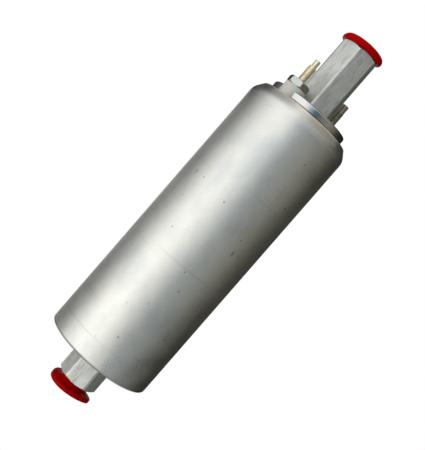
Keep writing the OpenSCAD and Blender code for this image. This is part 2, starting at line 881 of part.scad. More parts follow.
module brush_spring() {
    color("Silver") translate([brush_x + brush_len, 0, brush_z]) rotate([0, 90, 0])
        coil(brush_w / 2 - 0.5, 0.4, tube_out_x - tube_wall - brush_x - brush_len, 4);
}

module positive_brush_spring() {
    side(0) brush_spring();
}

module negative_brush_spring() {
    side(1) brush_spring();
}

can();
inlet_cap();
inlet_fitting();
outlet_cap();
outlet_fitting();
inlet_plug();
outlet_plug();
positive_insulator();
positive_seal();
positive_stud();
positive_nut();
negative_stud();
positive_strap();
negative_strap();
inlet_cap_seal();
outlet_cap_seal();
check_seat();
check_poppet();
check_spring();
inlet_strainer();
inlet_plate();
pump_ring();
bearing_plate();
outer_rotor();
inner_rotor();
pump_screws();
relief_ball();
relief_spring();
lower_bush();
upper_bush();
shaft();
thrust_washers();
flux_ring();
magnet_a();
magnet_b();
magnet_clips();
armature_core();
armature_winding();
commutator_hub();
commutator_bars();
brush_holder();
positive_brush_tube();
negative_brush_tube();
positive_brush();
negative_brush();
positive_brush_spring();
negative_brush_spring();
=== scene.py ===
import json
import math

import bmesh
import bpy
from mathutils import Matrix, Vector

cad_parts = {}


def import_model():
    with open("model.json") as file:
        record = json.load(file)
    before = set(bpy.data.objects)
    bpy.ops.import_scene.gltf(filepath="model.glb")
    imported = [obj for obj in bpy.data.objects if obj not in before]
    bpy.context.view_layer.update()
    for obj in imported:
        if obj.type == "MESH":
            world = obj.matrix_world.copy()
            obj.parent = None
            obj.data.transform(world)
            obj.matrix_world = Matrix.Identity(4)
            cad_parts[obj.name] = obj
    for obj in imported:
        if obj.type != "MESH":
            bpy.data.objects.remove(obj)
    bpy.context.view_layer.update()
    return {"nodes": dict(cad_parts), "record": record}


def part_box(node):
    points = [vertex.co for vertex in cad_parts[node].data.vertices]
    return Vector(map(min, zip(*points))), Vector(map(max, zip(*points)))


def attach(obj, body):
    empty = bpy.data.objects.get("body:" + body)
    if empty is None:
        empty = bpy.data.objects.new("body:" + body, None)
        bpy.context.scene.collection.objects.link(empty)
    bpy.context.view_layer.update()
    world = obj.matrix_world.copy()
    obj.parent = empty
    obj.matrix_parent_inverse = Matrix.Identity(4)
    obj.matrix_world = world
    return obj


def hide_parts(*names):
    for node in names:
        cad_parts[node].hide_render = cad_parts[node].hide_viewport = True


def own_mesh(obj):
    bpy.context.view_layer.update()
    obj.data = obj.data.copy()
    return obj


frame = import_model()
SLOT_OF = {part["node"]: part["material_slot"] for part in frame["record"]["subparts"]}
BODY_OF = {n: body for body, nodes in frame["record"]["behaviour"]["bodies"].items() for n in nodes}

# One millimetre in metres, and how finely the meshes are made
MM = 0.001
SEGMENTS = 160
STUD_SEGMENTS = 48
STAGE_SEGMENTS = 128
RIDGE_STEPS = 48
ARC_STEP = math.radians(9)
SHARP_ANGLE = math.radians(28)
FLAT_ANGLE = math.radians(0.5)
WELD = 1e-7


def reach(node):
    """The lowest and highest corners of a node, in millimetres."""
    low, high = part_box(node)
    return low / MM, high / MM


# Sizes, in millimetres. The flow axis is Z with the outlet up, and z = 0 is the middle of the can.
can_low, can_high = reach("can")
CAN_R = can_high.x
CAN_WALL = 1.0
INLET_ROLL_R = 0.95
INLET_LIP_R = 21.0
TAPER_LEN = 4.5
TAPER_IN = 3.2
TAPER_FOOT_R = 6.0
TAPER_BORE_R = 2.0
TAPER_TOP_R = 1.25
OUTLET_LIP_R = 21.4
LIP_EDGE_R = 0.2
COLLAR_R = 19.4

# Bands of painted light and shade on the can and the caps: a painted highlight on the outlet lip, and
# painted shade on the inlet roll, at the collar's joint and top edge and on the inlet cap's underside. Each
# has the depth at which it is full or fades
LIP_BAND = 1.4
LIP_FULL = 0.7
ROLL_BAND = 1.3
ROLL_FULL = 0.39
JOINT_BAND = 0.8
JOINT_FADE = 0.3
JOINT_FOOT = 2.0
JOINT_FOOT_FADE = 0.5
COLLAR_EDGE_BAND = 0.6
COLLAR_EDGE_FADE = 0.3
COLLAR_EDGE_IN = 0.45
COLLAR_EDGE_IN_FADE = 0.2
UNDERSIDE_BAND = 1.0
UNDERSIDE_FULL = 0.5

# Hex fittings, with turns in degrees
HEX_ACROSS = 17.0
HEX_CORNER_R = 9.52
HEX_EDGE_R = 0.1
HEX_CHAMFER = 0.8
HEX_CHAMFER_IN = HEX_CHAMFER * math.sqrt(3)
OUTLET_HEX_PROUD = 0.8
OUTLET_HEX_TURN = -68
INLET_HEX_TURN = -27
SPIGOT_R = 7.4
TURNED_EDGE_R = 0.2
MOUTH_R = 6.2
MOUTH_DEPTH = 7.0
MOUTH_EDGE_R = 0.25
PORT_R = 4.55
PORT_EDGE_R = 0.3
OUTLET_THREAD_LEN = 12.0
PORT_PITCH = 1.0
PORT_RIDGE = 0.34
THROAT_R = 2.6
THROAT_LEN = 3.0
CHAMBER_R = 5.6
INLET_THROAT_R = 4.2
INLET_THROAT_LEN = 1.0

# Thread ridges: how far they are sunk into their bar, and their foot and crest as shares of a pitch
RIDGE_SINK = 0.05
RIDGE_FOOT = 0.44
RIDGE_CREST = 0.08

# Plugs, whose rims sag by two depths, on the side that the sag turns to and on the side across
PLUG_RIM_R = 10.45
PLUG_CLEARANCE = 0.05
PLUG_NOSE_R = MOUTH_R - PLUG_CLEARANCE
PLUG_NOSE_EDGE_R = 0.8
PLUG_WALL = 1.5
CUP_R = PLUG_NOSE_R - PLUG_WALL
CUP_EDGE_R = 0.6
OUTLET_RIM_T = 3.15
OUTLET_RIM_EDGE_R = 1.5
OUTLET_RIM_FOOT_R = 0.3
OUTLET_LIP_START_R = 8.6
OUTLET_LIP = 0.35
OUTLET_SAG = (0.4, 1.05)
OUTLET_SAG_TURN = 0.0
INLET_CONE_LEN = 2.1
INLET_CONE_R = 1.3
INLET_RIM_T = 2.0
INLET_RIM_EDGE_R = 0.35
INLET_SAG = (1.6, 0.8)
INLET_SAG_TURN = 45.0

# Terminals
STUD_R = 2.0
STUD_ROOT_R = 1.76
STUD_PITCH = 0.7
STUD_HEAD_R = 4.0
STUD_HEAD_EDGE_R = 0.3
POSITIVE_TIP_R = 1.3
NEGATIVE_TIP_R = 1.7
TIP_LEN = 3.5
TIP_SLOPE = 0.3
TIP_EDGE_R = 0.35
NUT_ACROSS = 9.5
NUT_CORNER_R = 5.4
NUT_FACE_IN = 0.1
NUT_FACE_R = NUT_ACROSS / 2 - NUT_FACE_IN
NUT_EDGE_R = 0.1
NUT_CLEARANCE = 0.02
NUT_BORE_R = STUD_ROOT_R + NUT_CLEARANCE
NUT_BORE_EDGE_R = 0.2
NUT_CHAMFER = 0.65
NUT_TURN = -46


# Shapes

def filleted(corners):
    """Points of an outline from its corners, each a radius, a height and a fillet."""
    points = []
    for i, (radius, height, fillet) in enumerate(corners):
        here = Vector((radius, height))
        if not fillet:
            points.append(here)
            continue
        back = (Vector(corners[i - 1][:2]) - here).normalized()
        ahead = (Vector(corners[(i + 1) % len(corners)][:2]) - here).normalized()
        half = back.angle(ahead) / 2
        centre = here + (back + ahead).normalized() * fillet / math.sin(half)
        start = here + back * fillet / math.tan(half) - centre
        end = here + ahead * fillet / math.tan(half) - centre
        steps = max(2, round((math.pi - 2 * half) / ARC_STEP))
        points += [centre + start.slerp(end, k / steps) * fillet for k in range(steps + 1)]
    return points


def turned(corners, segments=SEGMENTS):
    """A solid turned on the flow axis from an outline's corners."""
    bm = bmesh.new()
    outline = [bm.verts.new((p.x * MM, 0, p.y * MM)) for p in filleted(corners)]
    pairs = list(zip(outline, outline[1:]))
    if corners[0][0] > 0:
        pairs.append((outline[-1], outline[0]))
    edges = [bm.edges.new(pair) for pair in pairs]
    bmesh.ops.spin(bm, geom=outline + edges, cent=(0, 0, 0), axis=(0, 0, 1),
                   angle=2 * math.pi, steps=segments, use_merge=True)
    bmesh.ops.remove_doubles(bm, verts=bm.verts, dist=WELD)
    bmesh.ops.recalc_face_normals(bm, faces=bm.faces)
    return bm


def mill_flats(bm, across, turn):
    """Mills six flats on a turned bar."""
    for i in range(6):
        angle = math.radians(turn + 60 * i)
        facing = Vector((math.cos(angle), math.sin(angle), 0))
        cut = bmesh.ops.bisect_plane(
            bm, geom=bm.verts[:] + bm.edges[:] + bm.faces[:], dist=WELD,
            plane_co=facing * across / 2 * MM, plane_no=facing, clear_outer=True)
        rim = [e for e in cut["geom_cut"] if isinstance(e, bmesh.types.BMEdge)]
        bmesh.ops.edgeloop_fill(bm, edges=rim)
    bmesh.ops.recalc_face_normals(bm, faces=bm.faces)


def wind_ridge(bm, base_r, crest_r, pitch, low, high):
    """Winds a closed thread ridge on a bar or in a bore, from one height to another."""
    ridge = bmesh.new()
    foot = pitch * RIDGE_FOOT
    flat = pitch * RIDGE_CREST
    section = [(base_r, -foot), (crest_r, -flat), (crest_r, flat), (base_r, foot)]
    ring = [ridge.verts.new((r * MM, 0, (low + foot + z) * MM)) for r, z in section]
    edges = [ridge.edges.new(pair) for pair in zip(ring, ring[1:] + ring[:1])]
    turns = (high - low - 2 * foot) / pitch
    count = round(turns * RIDGE_STEPS)
    bmesh.ops.spin(ridge, geom=ring + edges, cent=(0, 0, 0), axis=(0, 0, 1),
                   dvec=(0, 0, turns * pitch * MM / count), angle=2 * math.pi * turns, steps=count)
    open_ends = [e for e in ridge.edges if e.is_boundary]
    bmesh.ops.holes_fill(ridge, edges=open_ends)
    bmesh.ops.recalc_face_normals(ridge, faces=ridge.faces)
    join_into(bm, ridge)


def join_into(bm, other):
    """Adds another shape to this one as a separate shell."""
    shell = bpy.data.meshes.new("shell")
    other.to_mesh(shell)
    other.free()
    bm.from_mesh(shell)
    bpy.data.meshes.remove(shell)


def move(bm, x, y):
    """Moves a shape across the flow axis, in millimetres."""
    bmesh.ops.translate(bm, verts=bm.verts, vec=Vector((x, y, 0)) * MM)


def piece(bm, name, node):
    """Makes a shape a piece that stands for a node, on the node's body and in its slot."""
    mesh = bpy.data.meshes.new(name)
    bm.to_mesh(mesh)
    bm.free()
    mesh.shade_smooth()
    mesh.set_sharp_from_angle(angle=SHARP_ANGLE)
    obj = bpy.data.objects.new(name, mesh)
    bpy.context.scene.collection.objects.link(obj)
    mesh.materials.append(FINISHES[SLOT_OF[node]])
    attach(obj, BODY_OF[node])
    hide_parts(node)
    return obj


def smooth_copy(node, name):
    """A copy of a node with its facets merged, so that its round sides shade smoothly."""
    bm = bmesh.new()
    bm.from_mesh(frame["nodes"][node].data)
    bmesh.ops.remove_doubles(bm, verts=bm.verts, dist=WELD)
    bmesh.ops.dissolve_limit(bm, angle_limit=FLAT_ANGLE, verts=bm.verts, edges=bm.edges)
    obj = piece(bm, name, node)
    weighted = obj.modifiers.new("weighted_normals", "WEIGHTED_NORMAL")
    weighted.keep_sharp = True
    return obj


# Finishes

# The part of a speck, as a share of its size, that has its full colour
SPECK_CORE = 0.4


class Finish:
    """A material being made, with short calls for the nodes that it uses."""

    def __init__(self, name, colour, roughness, metallic=0.0):
        self.material = bpy.data.materials.new(name)
        self.material.use_nodes = True
        self.nodes = self.material.node_tree.nodes
        self.links = self.material.node_tree.links
        self.shader = self.nodes["Principled BSDF"]
        self.set("Base Color", (*colour, 1))
        self.set("Roughness", roughness)
        self.set("Metallic", metallic)
        self.place = self.add("ShaderNodeTexCoord").outputs["Object"]
        self.normal = None

    def add(self, kind, inputs=None, **settings):
        """Adds a node, with its settings and with values or links on its inputs."""
        node = self.nodes.new(kind)
        for key, value in settings.items():
            setattr(node, key, value)
        for key, value in (inputs or {}).items():
            self.put(node.inputs[key], value)
        return node

    def put(self, socket, value):
        """Links a socket to another, or sets its value."""
        if isinstance(value, bpy.types.NodeSocket):
            self.links.new(value, socket)
        else:
            socket.default_value = value

    def set(self, name, value):
        """Sets or links one of the shader's own sockets."""
        self.put(self.shader.inputs[name], value)

    def math(self, operation, a, b):
        """One step of arithmetic on two values."""
        return self.add("ShaderNodeMath", {0: a, 1: b}, operation=operation).outputs[0]

    def noise(self, scale, detail=3.0, stretch=(1, 1, 1), seed=0.0):
        """Noise on the object, as features per metre, with a stretch for each axis."""
        place = self.add("ShaderNodeMapping", {"Vector": self.place, "Location": (seed, seed, seed),
                                               "Scale": [scale * s for s in stretch]})
        noise = self.add("ShaderNodeTexNoise", {"Vector": place.outputs[0], "Scale": 1.0, "Detail": detail})
        return noise.outputs["Fac"]

    def radius(self):
        """The distance from the flow axis, in metres."""
        flat = self.add("ShaderNodeVectorMath", {0: self.place, 1: (1, 1, 0)}, operation="MULTIPLY")
        return self.add("ShaderNodeVectorMath", {0: flat.outputs[0]}, operation="LENGTH").outputs["Value"]

    def turning(self, per_metre):
        """Fine rings about the flow axis, as a lathe leaves."""
        height = self.add("ShaderNodeSeparateXYZ", {0: self.place})
        lined = self.add("ShaderNodeCombineXYZ", {0: self.math("MULTIPLY", self.radius(), per_metre),
                                                  1: self.math("MULTIPLY", height.outputs["Z"], per_metre)})
        return self.add("ShaderNodeTexNoise", {"Vector": lined.outputs[0], "Scale": 1.0,
                                               "Detail": 2.0}).outputs["Fac"]

    def specks(self, per_metre, size, share, stretch=(1, 1, 1), seed=0.0):
        """Small spots, one in some of the cells of a grid, as 0 to 1."""
        place = self.add("ShaderNodeMapping", {"Vector": self.place, "Location": (seed, seed, seed),
                                               "Scale": stretch})
        cells = self.add("ShaderNodeTexVoronoi", {"Vector": place.outputs[0], "Scale": per_metre})
        spot = self.remap(cells.outputs["Distance"], size, size * SPECK_CORE, 0.0, 1.0)
        chosen = self.add("ShaderNodeSeparateColor", {0: cells.outputs["Color"]}).outputs[0]
        return self.math("MULTIPLY", spot, self.math("LESS_THAN", chosen, share))

    def height(self, low, high):
        """How far up a point is between two heights in millimetres, as 0 to 1."""
        z = self.add("ShaderNodeSeparateXYZ", {0: self.place}).outputs["Z"]
        return self.remap(z, low * MM, high * MM, 0.0, 1.0)

    def remap(self, value, low, high, to_low, to_high):
        """A value moved from one range to another, and held within it."""
        return self.add("ShaderNodeMapRange", {"Value": value, "From Min": low, "From Max": high,
                                               "To Min": to_low, "To Max": to_high}).outputs[0]

    def blend(self, amount, a, b):
        """A colour between two, by an amount."""
        mix = self.add("ShaderNodeMix", data_type="RGBA")
        self.put(mix.inputs[0], amount)
        for socket, colour in ((mix.inputs[6], a), (mix.inputs[7], b)):
            self.put(socket, colour if isinstance(colour, bpy.types.NodeSocket) else (*colour, 1))
        return mix.outputs[2]

    def bump(self, height, depth):
        """Adds relief of a depth in millimetres over the relief so far."""
        inputs = {"Height": height, "Distance": depth * MM, "Strength": 1.0}
        if self.normal:
            inputs["Normal"] = self.normal
        self.normal = self.add("ShaderNodeBump", inputs).outputs[0]
        self.set("Normal", self.normal)


def can_steel():
    """Drawn and rolled satin metal, with faint rings, pits and handling marks, a painted warm highlight
    along the outlet lip and painted shade along the inlet roll.
    """
    light, dark = (0.81, 0.81, 0.78), (0.75, 0.755, 0.735)
    smudge, scuff, pit = (0.60, 0.64, 0.67), (0.48, 0.50, 0.53), (0.14, 0.155, 0.16)
    painted_lip_highlight, painted_roll_shade = (0.95, 0.85, 0.74), (0.16, 0.145, 0.12)
    f = Finish("can_steel", light, 0.28, 1.0)
    cloud = f.noise(45, 4)
    rings = f.noise(1, 1, (40, 40, 1200))
    pits = f.specks(130, size=0.085, share=0.9)
    dashes = f.specks(100, size=0.075, share=0.8, stretch=(1, 1, 0.4), seed=3.0)
    marks = f.math("MAXIMUM", pits, dashes)
    scuffs = f.remap(f.noise(1, 1, (16, 16, 520), 5.0), 0.68, 0.79, 0.0, 0.28)
    smudges = f.remap(f.noise(110, 5, (1, 1, 0.6), 7.0), 0.48, 0.7, 0.0, 0.55)
    colour = f.blend(f.remap(cloud, 0.35, 0.7, 0, 1), light, dark)
    colour = f.blend(smudges, colour, smudge)
    colour = f.blend(scuffs, colour, scuff)
    colour = f.blend(f.math("MULTIPLY", marks, 0.55), colour, pit)
    # Painted highlight: a warm band along the outlet lip, standing in for the lip's rounded edge mirroring
    # a warm light
    colour = f.blend(f.height(can_high.z - LIP_BAND, can_high.z - LIP_FULL), colour, painted_lip_highlight)
    # Painted shade: a dark band along the inlet roll, standing in for the roll mirroring a darker surround
    colour = f.blend(f.height(can_low.z + ROLL_BAND, can_low.z + ROLL_FULL), colour, painted_roll_shade)
    f.set("Base Color", colour)
    f.set("Roughness", f.remap(f.noise(120, 5), 0.3, 0.7, 0.25, 0.33))
    f.bump(f.noise(22, 1), 0.25)
    f.bump(f.noise(150, 3), 0.06)
    f.bump(rings, 0.0015)
    return f.material


def cap_metal():
    """Turned aluminium of the end caps, with painted shade at the joint below the collar and along its top
    edge, and painted shade on a rougher underside.
    """
    light, dark = (0.86, 0.86, 0.85), (0.76, 0.77, 0.78)
    painted_joint_shade, painted_edge_shade = (0.13, 0.065, 0.05), (0.20, 0.13, 0.12)
    shaded_underside_light, shaded_underside_dark = (0.46, 0.465, 0.47), (0.30, 0.305, 0.31)
    f = Finish("cap_metal", (0.82, 0.83, 0.83), 0.14, 1.0)
    lip_z = can_high.z
    top_z = reach("outlet_cap")[1].z
    bottom_z = reach("inlet_cap")[0].z
    edge_r = COLLAR_R - COLLAR_EDGE_IN
    marks = f.turning(5200)
    # Painted shade: a dark band on the outlet cap from just under the can's lip to just above it, where the
    # collar meets the lip
    joint = f.math("MULTIPLY", f.height(lip_z + JOINT_BAND, lip_z + JOINT_BAND - JOINT_FADE),
                   f.height(lip_z - JOINT_FOOT, lip_z - JOINT_FOOT + JOINT_FOOT_FADE))
    # Painted shadow: a dark line along the collar's top outer edge, where it meets the hex fitting
    edge = f.math("MULTIPLY", f.height(top_z - COLLAR_EDGE_BAND, top_z - COLLAR_EDGE_FADE),
                  f.remap(f.radius(), edge_r * MM, (edge_r + COLLAR_EDGE_IN_FADE) * MM, 0.0, 1.0))
    # Painted shade on the lowest millimetre of the inlet cap, which is also made rougher
    underside = f.height(bottom_z + UNDERSIDE_BAND, bottom_z + UNDERSIDE_FULL)
    colour = f.blend(f.noise(160, 3), light, dark)
    colour = f.blend(joint, colour, painted_joint_shade)
    colour = f.blend(edge, colour, painted_edge_shade)
    colour = f.blend(underside, colour, f.blend(marks, shaded_underside_light, shaded_underside_dark))
    f.set("Base Color", colour)
    bright = f.remap(marks, 0.3, 0.7, 0.07, 0.13)
    f.set("Roughness", f.math("ADD", bright, f.math("MULTIPLY", underside, 0.25)))
    f.bump(marks, 0.0004)
    return f.material


def fitting_aluminium():
    """Drawn hex bar, matt, with draw lines along it and small pits."""
    light, dark = (0.765, 0.775, 0.76), (0.65, 0.665, 0.66)
    stain, line, pit = (0.40, 0.415, 0.41), (0.46, 0.46, 0.44), (0.25, 0.25, 0.25)
    f = Finish("fitting_aluminium", light, 0.5, 1.0)
    lines = f.noise(1, 4, (2200, 2200, 45))
    pits = f.specks(430, size=0.12, share=0.08)
    stains = f.noise(1, 5, (800, 800, 240), 2.0)
    colour = f.blend(f.remap(f.noise(160, 4), 0.35, 0.7, 0, 1), light, dark)
    colour = f.blend(f.remap(stains, 0.48, 0.72, 0, 0.6), colour, stain)
    colour = f.blend(f.remap(lines, 0.5, 0.72, 0, 0.3), colour, line)
    f.set("Base Color", f.blend(f.math("MULTIPLY", pits, 0.45), colour, pit))
    f.set("Roughness", f.remap(lines, 0.3, 0.7, 0.46, 0.58))
    f.bump(lines, 0.006)
    f.bump(pits, -0.02)
    return f.material


def red_plastic():
    """Smooth moulded plastic, with a weak gloss, and painted shade that darkens it towards the inlet plug.
    """
    shaded_red_light, shaded_red_dark = (0.46, 0.0, 0.001), (0.39, 0.0, 0.001)
    lit_red_light, lit_red_dark = (0.52, 0.0, 0.001), (0.45, 0.0, 0.001)
    f = Finish("red_plastic", shaded_red_light, 0.22)
    shaded_red = f.blend(f.noise(120, 3), shaded_red_light, shaded_red_dark)
    bright = f.blend(f.noise(120, 3), lit_red_light, lit_red_dark)
    # Painted shade: the red darkens towards the inlet end, so the inlet plug is a shaded copy of the outlet
    # plug's red
    f.set("Base Color", f.blend(f.height(can_low.z, can_high.z), shaded_red, bright))
    f.set("Roughness", f.remap(f.noise(260, 3), 0.3, 0.7, 0.18, 0.26))
    f.set("Specular IOR Level", 0.02)
    return f.material


def moulded(name, light, dark, roughness):
    """Matt moulded plastic or rubber, with a fine grain."""
    f = Finish(name, light, roughness)
    f.set("Base Color", f.blend(f.remap(f.noise(300, 4), 0.3, 0.7, 0, 1), light, dark))
    f.set("Roughness", f.remap(f.noise(1500, 2), 0.3, 0.7, roughness - 0.06, roughness + 0.06))
    f.bump(f.noise(2200, 2), 0.01)
    return f.material


def plated(name, light, dark, roughness):
    """Plated metal, with a cloudy plating and fine scratches."""
    f = Finish(name, light, roughness, 1.0)
    f.set("Base Color", f.blend(f.remap(f.noise(420, 4), 0.35, 0.68, 0, 1), light, dark))
    f.set("Roughness", f.remap(f.noise(900, 3), 0.3, 0.7, roughness - 0.06, roughness + 0.08))
    f.bump(f.noise(1, 3, (2600, 2600, 400)), 0.002)
    return f.material


def stud_brass():
    """Plated brass, pale on the insulated stud, with painted shade that dulls the other stud where the hex
    fitting blocks its light.
    """
    f = Finish("stud_brass", (0.93, 0.84, 0.64), 0.34, 1.0)
    across = f.add("ShaderNodeSeparateXYZ", {0: f.place}).outputs["X"]
    change = STUD_R * MM
    cloud = f.remap(f.noise(420, 4), 0.35, 0.68, 0, 1)
    pale = f.blend(cloud, (0.96, 0.88, 0.70), (0.82, 0.72, 0.52))
    shaded_brass = f.blend(cloud, (0.46, 0.44, 0.34), (0.34, 0.32, 0.23))
    # Painted shade: the negative stud, on the +X side beside the hex fitting, gets a darker shaded copy of
    # the brass
    f.set("Base Color", f.blend(f.remap(across, -change, change, 0, 1), pale, shaded_brass))
    f.set("Roughness", f.remap(f.noise(900, 3), 0.3, 0.7, 0.3, 0.4))
    return f.material


def machined(name, light, dark, roughness):
    """Turned or ground metal, with rings about the flow axis."""
    f = Finish(name, light, roughness, 1.0)
    marks = f.turning(4200)
    f.set("Base Color", f.blend(f.noise(200, 3), light, dark))
    f.set("Roughness", f.remap(marks, 0.3, 0.7, roughness - 0.05, roughness + 0.08))
    f.bump(marks, 0.006)
    return f.material


def sintered(name, light, dark, roughness):
    """Pressed powder, with open pores."""
    f = Finish(name, light, roughness, 0.9)
    open_pore = (0.05, 0.045, 0.04)
    pores = f.specks(2600, size=0.3, share=0.6)
    f.set("Base Color", f.blend(pores, f.blend(f.noise(500, 4), light, dark), open_pore))
    f.set("Roughness", f.remap(f.noise(1200, 3), 0.3, 0.7, roughness - 0.05, roughness + 0.1))
    f.bump(pores, -0.02)
    return f.material


def mineral(name, light, dark, roughness):
    """Dull ferrite or carbon, with a fine grain."""
    f = Finish(name, light, roughness)
    grain = f.noise(2400, 5)
    f.set("Base Color", f.blend(f.remap(grain, 0.35, 0.65, 0, 1), light, dark))
    f.set("Roughness", f.remap(f.noise(700, 3), 0.3, 0.7, roughness - 0.08, roughness + 0.06))
    f.bump(grain, 0.015)
    return f.material


def wound_copper():
    """Enamelled copper, with the lay of the wire along it."""
    f = Finish("copper", (0.75, 0.33, 0.16), 0.3, 1.0)
    wires = f.noise(1, 2, (1500, 1500, 90))
    f.set("Base Color", f.blend(wires, (0.80, 0.38, 0.19), (0.52, 0.20, 0.09)))
    f.set("Roughness", f.remap(wires, 0.3, 0.7, 0.22, 0.4))
    f.bump(wires, 0.08)
    return f.material


FINISHES = {
    "can_steel": can_steel(),
    "cap_metal": cap_metal(),
    "fitting_aluminium": fitting_aluminium(),
    "red_plastic": red_plastic(),
    "grey_plastic": moulded("grey_plastic", (0.68, 0.67, 0.64), (0.60, 0.595, 0.57), 0.5),
    "seal_rubber": moulded("seal_rubber", (0.035, 0.035, 0.035), (0.02, 0.02, 0.02), 0.6),
    "white_plastic": moulded("white_plastic", (0.80, 0.79, 0.74), (0.72, 0.71, 0.66), 0.45),
    "brown_plastic": moulded("brown_plastic", (0.16, 0.075, 0.035), (0.10, 0.045, 0.02), 0.5),
    "stud_brass": stud_brass(),
    "zinc_steel": plated("zinc_steel", (0.60, 0.63, 0.65), (0.54, 0.52, 0.46), 0.16),
    "contact_brass": plated("contact_brass", (0.83, 0.62, 0.27), (0.70, 0.50, 0.20), 0.28),
    "spring_steel": plated("spring_steel", (0.58, 0.58, 0.59), (0.48, 0.47, 0.46), 0.25),
    "plate_aluminium": machined("plate_aluminium", (0.70, 0.71, 0.72), (0.60, 0.61, 0.62), 0.3),
    "shaft_steel": machined("shaft_steel", (0.62, 0.62, 0.63), (0.52, 0.52, 0.53), 0.24),
    "rotor_steel": sintered("rotor_steel", (0.42, 0.42, 0.43), (0.34, 0.34, 0.35), 0.42),
    "bronze": sintered("bronze", (0.62, 0.42, 0.20), (0.50, 0.33, 0.15), 0.42),
    "ferrite": mineral("ferrite", (0.06, 0.06, 0.065), (0.035, 0.035, 0.04), 0.55),
    "carbon": mineral("carbon", (0.045, 0.045, 0.05), (0.025, 0.025, 0.028), 0.45),
    "copper": wound_copper(),
}

for node_name, node_object in frame["nodes"].items():
    node_object.data.materials.clear()
    node_object.data.materials.append(FINISHES[SLOT_OF[node_name]])


# Can

def can():
    """The rolled tube, tapered over the outlet cap and rolled under the inlet cap."""
    low, high = can_low.z, can_high.z
    bore_r = CAN_R - CAN_WALL
    foot_z = high - TAPER_LEN
    top_r = CAN_R - TAPER_IN
    lean = math.atan(TAPER_IN / TAPER_LEN)
    foot_drop = CAN_WALL * math.tan(lean / 2)
    top_shift = CAN_WALL * math.tan((math.pi / 2 - lean) / 2)
    bm = turned([
        (INLET_LIP_R, low, LIP_EDGE_R),
        (CAN_R, low, INLET_ROLL_R),
        (CAN_R, foot_z, TAPER_FOOT_R),
        (top_r, high, TAPER_TOP_R),
        (OUTLET_LIP_R, high, LIP_EDGE_R),
        (OUTLET_LIP_R, high - CAN_WALL, 0),
        (top_r - top_shift, high - CAN_WALL, 0),
        (bore_r, foot_z - foot_drop, TAPER_BORE_R),
        (bore_r, low + CAN_WALL, 0),
        (INLET_LIP_R, low + CAN_WALL, LIP_EDGE_R),
    ])
    piece(bm, "rolled_can", "can")


# Hex fittings

def outlet_fitting():
    """The long hex fitting in the outlet cap, with the check valve's chamber and the outlet port."""
    low, high = (corner.z for corner in reach("outlet_fitting"))
    collar_z = reach("outlet_cap")[1].z
    mouth_z = high - MOUTH_DEPTH
    end_z = high + OUTLET_HEX_PROUD
    thread_z = mouth_z - OUTLET_THREAD_LEN
    chamber_z = thread_z - THROAT_LEN
    bm = turned([
        (SPIGOT_R, low, TURNED_EDGE_R),
        (SPIGOT_R, collar_z, 0),
        (HEX_CORNER_R, collar_z, 0),
        (HEX_CORNER_R, end_z - HEX_CHAMFER, HEX_EDGE_R),
        (HEX_CORNER_R - HEX_CHAMFER_IN, end_z, HEX_EDGE_R),
        (MOUTH_R, end_z, MOUTH_EDGE_R),
        (MOUTH_R, mouth_z, TURNED_EDGE_R),
        (PORT_R, mouth_z, PORT_EDGE_R),
        (PORT_R, thread_z, 0),
        (THROAT_R, thread_z, TURNED_EDGE_R),
        (THROAT_R, chamber_z, 0),
        (CHAMBER_R, chamber_z, 0),
        (CHAMBER_R, low, TURNED_EDGE_R),
    ])
    mill_flats(bm, HEX_ACROSS, OUTLET_HEX_TURN)
    wind_ridge(bm, PORT_R + RIDGE_SINK, PORT_R - PORT_RIDGE, PORT_PITCH, thread_z, mouth_z)
    piece(bm, "outlet_hex", "outlet_fitting")


def inlet_fitting():
    """The short hex fitting in the inlet cap, with the inlet port."""
    low, high = (corner.z for corner in reach("inlet_fitting"))
    cap_z = reach("inlet_cap")[0].z
    mouth_z = low + MOUTH_DEPTH
    throat_z = high - INLET_THROAT_LEN
    bm = turned([
        (SPIGOT_R, high, TURNED_EDGE_R),
        (SPIGOT_R, cap_z, 0),
        (HEX_CORNER_R, cap_z, 0),
        (HEX_CORNER_R, low + HEX_CHAMFER, HEX_EDGE_R),
        (HEX_CORNER_R - HEX_CHAMFER_IN, low, HEX_EDGE_R),
        (MOUTH_R, low, MOUTH_EDGE_R),
        (MOUTH_R, mouth_z, TURNED_EDGE_R),
        (PORT_R, mouth_z, PORT_EDGE_R),
        (PORT_R, throat_z, 0),
        (INLET_THROAT_R, throat_z, 0),
        (INLET_THROAT_R, high, TURNED_EDGE_R),
    ])
    mill_flats(bm, HEX_ACROSS, INLET_HEX_TURN)
    wind_ridge(bm, PORT_R + RIDGE_SINK, PORT_R - PORT_RIDGE, PORT_PITCH, mouth_z, throat_z)
    piece(bm, "inlet_hex", "inlet_fitting")


# Plugs

def bend_rim(bm, start_r, turn, sag):
    """Bends a plug's rim down at two opposite sides, from a radius out."""
    toward = Vector((math.cos(math.radians(turn)), math.sin(math.radians(turn))))
    for vert in bm.verts:
        share = min(max((vert.co.xy.length / MM - start_r) / (PLUG_RIM_R - start_r), 0), 1)
        along = vert.co.xy.dot(toward) / (PLUG_RIM_R * MM)
        depth = sag[0] if along > 0 else sag[1]
        vert.co.z -= depth * along ** 2 * share * MM


